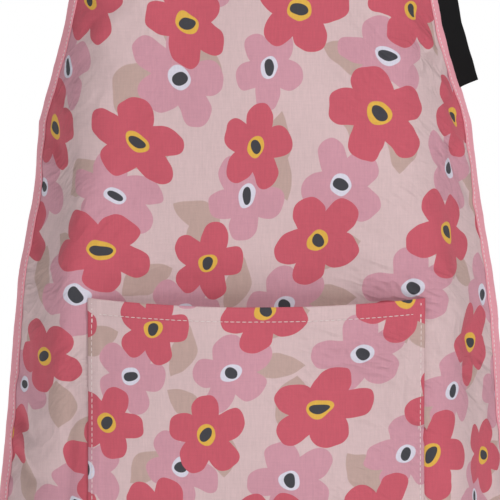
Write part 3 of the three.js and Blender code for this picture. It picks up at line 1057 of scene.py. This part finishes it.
def makeTapeThread():
    # The stitches that hold the strap's ends, on the bib's face and behind, and the ties' ends behind.
    strapMiddle = cut["bibTop"] / 2 - strap["inset"]
    tieMiddle = halfWidth(tieDown) - tie["overlap"] / 2 - tapeSeam["inset"]
    strapHalf, tieHalf = strap["width"] / 2 - tapeSeam["inset"], tapeSeam["tieHalf"]
    strapBox = boxPaths(strapMiddle, strapHalf, -tapeSeam["top"], -strap["overlap"] + tapeSeam["foot"])
    tieBox = boxPaths(tieMiddle, tieHalf, -tieDown + tieHalf, -tieDown - tieHalf)
    way = strapLine()[1][0]

    def onStrap(x, y, z):
        point = wornPoint(strapMiddle, -y, -behindStrap(), 0) + way * (abs(x) - strapMiddle)
        point += Vector((-way.y, way.x, 0)) * (strap["wall"] / 2 + z)
        point.x = math.copysign(point.x, x)
        return point

    def onTie(x, y, z):
        return wornPoint(x, -y, -tieBehind - 0.0005 - tie["wall"] / 2 - z, 0)

    makeThread("thread_strap_face", strapBox, onCloth, 0.00055, edgeStitch)
    makeThread("thread_strap_back", strapBox, onStrap, 0.0, edgeStitch)
    makeThread("thread_tie_back", tieBox, onTie, 0.0, edgeStitch)


# Side label: a blank folded ribbon caught under the binding

label = {
    "length": 0.0672, "reach": 0.0094, "down": 0.083, "angle": math.radians(24),
    "wall": 0.0004, "fold": 0.00055, "skew": 0.22,
}


def onLabel(x, y, z):
    # x away from the binding, y down the label as a negative distance, z out of its face.
    def edge(down):
        return wornPoint(halfWidth(down) - 0.002, down, 0)

    down = label["down"] - y
    along = (edge(down + 0.001) - edge(down - 0.001)).normalized()
    away = Vector((math.cos(label["angle"]), math.sin(label["angle"]), 0))
    away = (away - along * away.dot(along)).normalized()
    normal = along.cross(away)
    curl = 0.0012 * (x / label["reach"]) ** 2 * math.sin(-y / label["length"] * 5)
    wider = 1 + label["skew"] * (1 + y / label["length"])
    return edge(down) + away * (x * wider) - normal * (z + curl)


def makeLabel():
    fold, reach = label["fold"], label["reach"] + 0.0035
    profile = [(reach * k / 8, fold) for k in range(8)]
    angles = [math.pi * k / 6 for k in range(7)]
    profile += [(reach - fold + fold * math.sin(angle), fold * math.cos(angle)) for angle in angles]
    profile += [(x, -fold) for x, _ in reversed(profile[:8])]
    rows = 40

    def place(i, j):
        x, z = profile[i]
        return Vector((x, -label["length"] * j / rows, z))

    bm = gridOf(len(profile) - 1, rows, place)
    drape(bm, onLabel)
    return addPiece("blank_label", bm, [labelMaterial], ["side_label"], label["wall"])


# Everything together

panelPiece = makePanel()
print("panel made")
pocketPiece = makePocket()
print("pocket made")

leftEdge, rightEdge = sideEdge(-1), sideEdge(1)
topEdge = levelEdge(cut["bibTop"] / 2 - binding["width"], 0, -1)
hemEdge = levelEdge(halfWidth(cut["length"]), cut["length"], 1)
bindings = [
    makeBinding("binding_left", "side_binding_left", leftEdge, 1.0),
    makeBinding("binding_right", "side_binding_right", rightEdge, 2.0),
    makeBinding("binding_bib", "bib_binding", topEdge, 3.0),
    makeBinding("binding_hem", "hem_binding", hemEdge, 4.0),
]
seams = [insetPath(edge, binding["seam"]) for edge in (leftEdge, rightEdge, topEdge, hemEdge)]
seamOut = binding["out"] * 0.78 + 0.00025
makeThread("thread_binding", seams, onCloth, seamOut, edgeStitch, sides=(1, -1))
makePocketThread()
print("binding and stitches made")

neckTape = makeNeckTape()
makeTies()
makeKnot()
makeLabel()
makeTapeThread()
print("tapes and label made")


def flatArea():
    steps = 200
    return sum(2 * halfWidth(cut["length"] * (k + 0.5) / steps) for k in range(steps)) * cut["length"] / steps


flatArea()


# Floor, light and camera

stage = {
    "floor": -1.05,
    "size": 8.0,
    "pale": srgb(244, 243, 243),
    "sky": 0.1,
    "glow": 0.4,
    "aim": Vector((0, -0.1, -0.33)),
}

view = {
    "target": Vector((-0.0036, -0.13, -0.3236)),
    "frame": 0.2955,
    "distance": 6.0,
    "elevation": math.radians(4),
}

lamps = [
    {"name": "key_light", "at": (1.3, -2.3, 1.9), "size": 0.7, "power": 63},
    {"name": "fill_light", "at": (-2.3, -2.0, 0.2), "size": 1.2, "power": 13},
    {"name": "back_light", "at": (0.9, 2.4, 1.1), "size": 1.2, "power": 32},
    {"name": "back_fill_light", "at": (-1.8, 2.0, 0.2), "size": 1.4, "power": 13},
]


def makeFloor():
    bm = bmesh.new()
    bmesh.ops.create_grid(bm, x_segments=4, y_segments=4, size=stage["size"] / 2)
    bmesh.ops.translate(bm, verts=bm.verts, vec=(0, 0, stage["floor"]))
    material = bpy.data.materials.new("floor_paint")
    material.use_nodes = True
    shader = material.node_tree.nodes["Principled BSDF"]
    shader.inputs["Base Color"].default_value = stage["pale"]
    shader.inputs["Roughness"].default_value = 0.9
    shader.inputs["Emission Color"].default_value = stage["pale"]
    shader.inputs["Emission Strength"].default_value = stage["glow"]
    addMesh("floor", bm, [material])


def makeLights():
    for row in lamps:
        light = bpy.data.lights.new(row["name"], "AREA")
        light.shape = "SQUARE"
        light.size = row["size"]
        light.energy = row["power"]
        lamp = addObject(row["name"], light)
        lamp.location = row["at"]
        aim = stage["aim"] - lamp.location
        lamp.rotation_euler = aim.to_track_quat("-Z", "Y").to_euler()
    world = bpy.data.worlds.new("studio")
    bpy.context.scene.world = world
    world.use_nodes = True
    tree = world.node_tree
    back = tree.nodes["Background"]
    back.inputs["Color"].default_value = (1, 1, 1, 1)
    seen = Wire(tree).node("ShaderNodeLightPath", {}, output=0)
    strength = seen * (1 - stage["sky"]) + stage["sky"]
    tree.links.new(strength.socket, back.inputs["Strength"])


def makeCamera():
    data = bpy.data.cameras.new("camera")
    data.sensor_width = 36
    data.lens = 36 * view["distance"] / view["frame"]
    data.clip_end = 60
    camera = addObject("camera", data)
    way = Vector((0, -math.cos(view["elevation"]), math.sin(view["elevation"])))
    camera.location = view["target"] + way * view["distance"]
    camera.rotation_euler = (-way).to_track_quat("-Z", "Y").to_euler()
    bpy.context.scene.camera = camera


makeFloor()
makeLights()
makeCamera()
bpy.context.scene.view_settings.view_transform = "Standard"
print("stage made")
